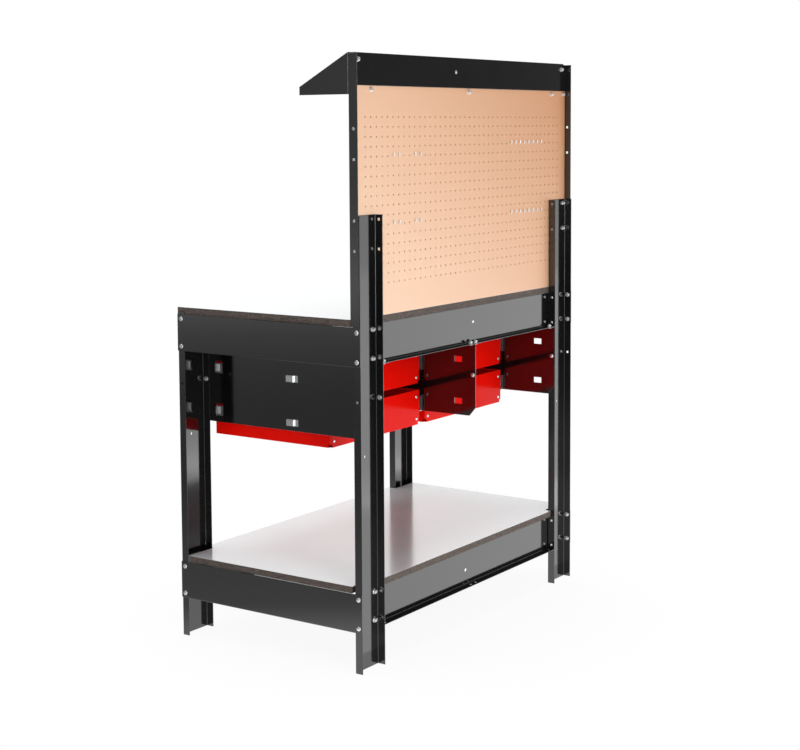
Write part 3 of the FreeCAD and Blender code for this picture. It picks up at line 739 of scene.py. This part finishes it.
def pegboard(material):
    """The pegboard with its whole grid of round holes, drilled through."""
    low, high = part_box("pegboard")
    bm = bmesh.new()
    for column in range(PEG_COLUMNS):
        for row in range(PEG_ROWS):
            outer, inner = cell_outline(*peg_place(column, row))
            peg_cell(bm, outer, inner, low.y, high.y)
    peg_border(bm, low, high)
    bmesh.ops.remove_doubles(bm, verts=bm.verts, dist=MERGE_DISTANCE)
    front_rim = [edge for edge in bm.edges if len(edge.link_faces) == 1
                 and all(abs(v.co.y - low.y) < MERGE_DISTANCE for v in edge.verts)]
    grown = bmesh.ops.extrude_edge_only(bm, edges=front_rim)
    for item in grown["geom"]:
        if isinstance(item, bmesh.types.BMVert):
            item.co.y = high.y
    bmesh.ops.remove_doubles(bm, verts=bm.verts, dist=MERGE_DISTANCE)
    bmesh.ops.recalc_face_normals(bm, faces=bm.faces)
    piece = add_piece("drilled_pegboard", bm, material)
    smooth_by_angle(piece, SMOOTH_FLAT)
    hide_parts("pegboard")


LAMINATE_THICK = 0.4 * MM
LAMINATE_ROUNDING = 0.12 * MM
ROUNDING_SEGMENTS = 2
SHELF_NOTCH_FRONT = 28.5 * MM
SHELF_NOTCH_REAR = 22.0 * MM
SHELF_NOTCH_SIDE = 103.0 * MM


def prism_between(outline, low_z, high_z, edge_radius):
    """A bmesh of a flat board with the given outline, its edges rounded where a radius is given."""
    bm = bmesh.new()
    lower = [bm.verts.new((x, y, low_z)) for x, y in outline]
    upper = [bm.verts.new((x, y, high_z)) for x, y in outline]
    bm.faces.new(upper)
    bm.faces.new(lower[::-1])
    wall(bm, lower, upper)
    bmesh.ops.recalc_face_normals(bm, faces=bm.faces)
    if edge_radius:
        bmesh.ops.bevel(bm, geom=list(bm.edges), offset=edge_radius, segments=ROUNDING_SEGMENTS,
                        affect="EDGES")
    return bm


def board(node, outline, core, face):
    """A faced board in place of a CAD board: a raw core with a thin pale sheet on top."""
    low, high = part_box(node)
    seam = high.z - LAMINATE_THICK
    piece = add_piece(node + "_core", prism_between(outline, low.z, seam, 0), core)
    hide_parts(node)
    bm = prism_between(outline, seam, high.z, LAMINATE_ROUNDING)
    smooth_by_angle(add_piece(node + "_laminate", bm, face), SMOOTH_BLOCK)


def worktop_outline():
    low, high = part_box("worktop")
    return [(low.x, low.y), (high.x, low.y), (high.x, high.y), (low.x, high.y)]


def shelf_outline():
    """The shelf's outline with its four corner notches."""
    low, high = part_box("lower_shelf")
    front = low.y + SHELF_NOTCH_FRONT
    back = high.y - SHELF_NOTCH_REAR
    left = low.x + SHELF_NOTCH_SIDE
    right = high.x - SHELF_NOTCH_SIDE
    return [
        (left, low.y), (right, low.y), (right, front), (high.x, front),
        (high.x, back), (right, back), (right, high.y), (left, high.y),
        (left, back), (low.x, back), (low.x, front), (left, front),
    ]


# Outlines of small heads, in shares of the radius and of the height
RIVET_OUTLINE = ((1.0, 0.0), (0.85, 0.6), (0.5, 0.95), (0.0, 1.0))
PLUG_OUTLINE = ((1.0, 0.0), (0.7, 0.7), (0.0, 1.0))
POST_PLUG_OUTLINE = ((1.0, 0.0), (0.8, 0.7), (0.0, 1.0))


def head_profile(outline, radius, height, foot=0.0):
    """The profile of a small head on a straight foot."""
    start = [(0, 0), (radius, 0)] if foot else [(0, 0)]
    return start + [(radius * out, foot + height * up) for out, up in outline]


RIVET_RADIUS = 4.5 * MM
RIVET_HEIGHT = 1.8 * MM
RIVET_INSET = 15 * MM
RIVET_RISE = 17 * MM
RIVET_DROP = 20 * MM


def drawer_rivets(material):
    """The rivets that hold each tray's rear wall to the flanges of its sides."""
    profile = head_profile(RIVET_OUTLINE, RIVET_RADIUS, RIVET_HEIGHT)
    for level in LEVELS:
        for side in SIDE_NAMES:
            tail = "_" + level + "_" + side
            low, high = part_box("drawer" + tail)
            bm = bmesh.new()
            for x in (low.x + RIVET_INSET, high.x - RIVET_INSET):
                for z in (low.z + RIVET_RISE, high.z - RIVET_DROP):
                    lathe(bm, profile, LATHE_SIDES // 2, facing(Vector((x, high.y, z)), Y_AXIS))
            piece = add_piece("rivets" + tail, bm, material, "drawer" + tail + "_body")
            smooth_by_angle(piece, SMOOTH_TURNED)


PLUG_RADIUS = 4.9 * MM
PLUG_RISE = 0.9 * MM
# The plugged hole of each sheet, as x and z
PLUG_PLACES = {
    "back_plate": (68 * MM, 1562 * MM),
    "rail_rear_upper": (-21.5 * MM, 861 * MM),
    "rail_rear_lower": (21.5 * MM, 150 * MM),
    "rail_front_upper": (-21.5 * MM, 861 * MM),
    "rail_front_lower": (21.5 * MM, 150 * MM),
}


def hole_plugs(material):
    """The plated plugs in the round holes of the back plate and of the rails."""
    bm = bmesh.new()
    profile = head_profile(PLUG_OUTLINE, PLUG_RADIUS, PLUG_RISE, foot=SHEET)
    for node, (x, z) in PLUG_PLACES.items():
        low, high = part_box(node)
        inner, way = low.y, Y_AXIS
        if node == "back_plate":
            inner = high.y - SHEET
        elif "front" in node:
            inner, way = low.y + SHEET, -Y_AXIS
        lathe(bm, profile, LATHE_SIDES, facing(Vector((x, inner, z)), way))
    smooth_by_angle(add_piece("hole_plugs", bm, material), SMOOTH_TURNED)


POST_HOLE_Y = 295.25 * MM
POST_PLUG_RADIUS = 4.0 * MM
POST_PLUG_RISE = 1.2 * MM
# Heights of the plugged holes in the left post's flange and in the right one's
POST_PLUG_HEIGHTS = {
    -1: (1098.5 * MM, 1175.5 * MM),
    1: (1098.5 * MM, 1175.5 * MM, 1330.5 * MM, 1408 * MM),
}


def post_plugs(material):
    """The plated plugs in the holes of the posts' flanges; the left post's two upper holes are open."""
    bm = bmesh.new()
    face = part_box("peg_post_right")[1].x
    profile = head_profile(POST_PLUG_OUTLINE, POST_PLUG_RADIUS, POST_PLUG_RISE)
    for side, heights in POST_PLUG_HEIGHTS.items():
        way = X_AXIS * side
        for z in heights:
            lathe(bm, profile, LATHE_SIDES, facing(way * face + Vector((0, POST_HOLE_Y, z)), way))
    smooth_by_angle(add_piece("post_plugs", bm, material), SMOOTH_TURNED)


STRIP_THICK = 1.0 * MM
STRIP_PLAY = 0.1 * MM
STRIP_ROUNDING = 0.2 * MM


def plate_end_strips(material):
    """The dark strips that close the gap between each end of the back plate and the post's flange."""
    plate_low, plate_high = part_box("back_plate")
    post_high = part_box("peg_post_right")[1]
    near_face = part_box("pegboard")[1].y + STRIP_PLAY
    far_face = near_face + STRIP_THICK
    edge = post_high.x - SHEET - STRIP_PLAY
    for name, side in zip(SIDE_NAMES, (-1, 1)):
        x0, x1 = sorted((side * (plate_high.x + STRIP_PLAY), side * edge))
        outline = [(x0, near_face), (x1, near_face), (x1, far_face), (x0, far_face)]
        bm = prism_between(outline, plate_low.z, post_high.z, STRIP_ROUNDING)
        add_piece("plate_end_strip_" + name, bm, material)


MIDDLE_BOLT_Y = (300.05 * MM, -293.95 * MM)
MIDDLE_BOLT_Z = 711 * MM


def middle_panel_bolts(material):
    """The bolts that clamp the middle panels back to back, heads to the right and nuts to the left."""
    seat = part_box("drawer_panel_middle_right")[0].x + SHEET
    bm = bmesh.new()
    for y in MIDDLE_BOLT_Y:
        lathe(bm, dome_profile(), LATHE_SIDES, facing(Vector((seat, y, MIDDLE_BOLT_Z)), X_AXIS))
        one_flange_nut(bm, facing(Vector((-seat, y, MIDDLE_BOLT_Z)), -X_AXIS))
    smooth_by_angle(add_piece("middle_panel_bolts", bm, material), SMOOTH_BLOCK)


TAB_PROUD = 3.6 * MM
TAB_PLAY = 0.8 * MM
# Along Y, for each window of an outer panel: its front end, and where its tab's slope starts and ends
MIDDLE_WINDOW_Y = (-9.23 * MM, 14.5 * MM, 18.7 * MM)
FRONT_WINDOW_Y = (-260.25 * MM, -258.6 * MM, -245.0 * MM)
# Bottom and top of the middle window and of the front window, for the upper and then the lower drawers
WINDOW_HEIGHTS = (
    ((726 * MM, 745 * MM), (735 * MM, 757 * MM)),
    ((605.5 * MM, 624.5 * MM), (614.5 * MM, 636.5 * MM)),
)


def slide_tabs(material):
    """The slides' hook tabs, which stand out through the windows of the outer panels."""
    panel_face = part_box("drawer_panel_outer_right")[1].x
    root, lip = panel_face - SHEET, panel_face + TAB_PROUD
    bm = bmesh.new()
    for side in (-1, 1):
        for heights in WINDOW_HEIGHTS:
            for (front, start, end), (bottom, top) in zip((MIDDLE_WINDOW_Y, FRONT_WINDOW_Y), heights):
                corners = [(root, front + TAB_PLAY), (lip, front + TAB_PLAY), (lip, start), (root, end)]
                lower, upper = [[bm.verts.new((side * x, y, z)) for x, y in corners]
                                for z in (bottom + TAB_PLAY, top - TAB_PLAY)]
                bm.faces.new(lower)
                bm.faces.new(upper[::-1])
                wall(bm, lower, upper)
    bmesh.ops.recalc_face_normals(bm, faces=bm.faces)
    smooth_by_angle(add_piece("slide_tabs", bm, material), SMOOTH_FLAT)


def build_pieces(materials):
    pegboard(materials["pegboard"])
    board("worktop", worktop_outline(), materials["board_core"], materials["board"])
    board("lower_shelf", shelf_outline(), materials["board_core"], materials["board"])
    heads = {
        "apron_bolts": outward,
        "rail_bolts": lambda centre: -Y_AXIS,
        "splice_bolts": lambda centre: -Y_AXIS,
        "panel_bolts": inward,
        "lip_bolts": lambda centre: -Z_AXIS,
        "board_bolts": lambda centre: -Y_AXIS,
    }
    zinc_plate = materials["zinc"]
    for node, direction_of in heads.items():
        bolt_heads(node, direction_of, zinc_plate)
    for build in (flange_nuts, wire_accessories, drawer_rivets, hole_plugs, middle_panel_bolts,
                  slide_tabs, post_plugs):
        build(zinc_plate)
    plate_end_strips(materials["black_steel"])


# Half the floor's width, in metres
FLOOR_HALF = 30.0


def stage_floor():
    """The square floor under the bench."""
    bm = bmesh.new()
    bmesh.ops.create_grid(bm, x_segments=1, y_segments=1, size=FLOOR_HALF)
    mesh = bpy.data.meshes.new("floor")
    bm.to_mesh(mesh)
    bm.free()
    floor = bpy.data.objects.new("floor", mesh)
    bpy.context.scene.collection.objects.link(floor)
    mesh.materials.append(floor_material())


def area_light(name, place, target, size, radiance):
    """A soft box of the given size in metres and radiance, aimed at the target."""
    width, height = size
    lamp = bpy.data.lights.new(name, "AREA")
    lamp.shape = "RECTANGLE"
    lamp.size = width
    lamp.size_y = height
    lamp.energy = radiance * math.pi * width * height
    light = bpy.data.objects.new(name, lamp)
    bpy.context.scene.collection.objects.link(light)
    light.location = place
    light.rotation_euler = (Vector(target) - Vector(place)).to_track_quat("-Z", "Y").to_euler()
    light.visible_camera = False


# How bright the studio's walls are in a gloss, from the camera's side round to the white backdrop
BACKGROUND_WAY = (-0.82, -0.57, 0.0)
WALL_LEVELS = [
    (0.0, grey(0.36)), (0.33, grey(0.33)), (0.62, grey(0.10)), (0.72, grey(0.10)), (0.90, grey(1.0)),
]
# The light that the walls shed on dull surfaces
ROOM_LIGHT = (0.58, 0.59, 0.60, 1)
# Soft boxes: name, place, the point each faces, its width and height in metres, and its radiance
SOFT_BOXES = [
    ("rear_ramp_near", (-2.17, 1.81, 0.34), (-1.97, 1.67, 1.30), (3.4, 2.7), 1.05),
    ("rear_ramp_far", (-4.02, 3.09, 0.90), (-3.82, 2.95, 1.86), (3.8, 1.8), 0.7),
    ("rear_table", (-0.55, 0.82, 0.012), (-0.55, 0.82, 1.0), (2.4, 0.95), 0.5),
    ("key_box", (2.4, 4.4, 1.5), (0.1, 0.3, 0.9), (1.4, 2.4), 7.0),
    ("top_box", (0.0, -0.3, 4.2), (0, 0, 0.8), (3.0, 3.0), 3.4),
]


def studio():
    """A white backdrop between dimmer walls, with soft boxes behind the bench and above it."""
    world = bpy.data.worlds.new("studio")
    bpy.context.scene.world = world
    world.use_nodes = True
    nodes = world.node_tree.nodes
    links = world.node_tree.links
    background = nodes["Background"]
    coords = nodes.new("ShaderNodeTexCoord")
    along = reach_along(nodes, links, coords.outputs["Generated"], BACKGROUND_WAY)
    walls = ramp(nodes, links, mapped(nodes, links, along, 0.0, 1.0, -1.0, 1.0), WALL_LEVELS)
    from_camera, mirrored = ray_kinds(nodes, links)
    unseen = mixed(nodes, links, mirrored, ROOM_LIGHT, walls)
    links.new(mixed(nodes, links, from_camera, unseen, WHITE), background.inputs["Color"])
    background.inputs["Strength"].default_value = 1.0
    for soft_box in SOFT_BOXES:
        area_light(*soft_box)


def photo_camera():
    """The camera of the photograph: its place, turn, focal length and off-centre crop."""
    level_reach = math.cos(CAMERA_PITCH)
    ahead = Vector((math.cos(CAMERA_YAW) * level_reach, math.sin(CAMERA_YAW) * level_reach,
                    math.sin(CAMERA_PITCH)))
    level = ahead.cross(Z_AXIS).normalized()
    raised = level.cross(ahead)
    right = level * math.cos(CAMERA_ROLL) + raised * math.sin(CAMERA_ROLL)
    up = raised * math.cos(CAMERA_ROLL) - level * math.sin(CAMERA_ROLL)
    data = bpy.data.cameras.new("photo_camera")
    data.sensor_fit = "HORIZONTAL"
    data.sensor_width = SENSOR_WIDTH
    data.lens = CAMERA_FOCUS_PX * SENSOR_WIDTH / IMAGE_WIDTH
    data.shift_x = (IMAGE_WIDTH / 2 - CAMERA_CENTRE_PX[0]) / IMAGE_WIDTH
    data.shift_y = (CAMERA_CENTRE_PX[1] - IMAGE_HEIGHT / 2) / IMAGE_WIDTH
    data.dof.use_dof = False
    camera = bpy.data.objects.new("photo_camera", data)
    bpy.context.scene.collection.objects.link(camera)
    turn = Matrix((right, up, -ahead)).transposed().to_4x4()
    camera.matrix_world = Matrix.Translation(CAMERA_PLACE) @ turn
    bpy.context.scene.camera = camera


def main():
    materials = {
        "black_steel": black_enamel(),
        "red_steel": red_enamel(),
        "zinc": zinc(),
        "board": laminate(),
        "board_core": particle_board(),
        "pegboard": hardboard(),
        "cage_plastic": cage_plastic(),
    }
    paint_cad(materials)
    build_pieces(materials)
    stage_floor()
    studio()
    photo_camera()
    bpy.context.scene.view_settings.view_transform = "Standard"


main()
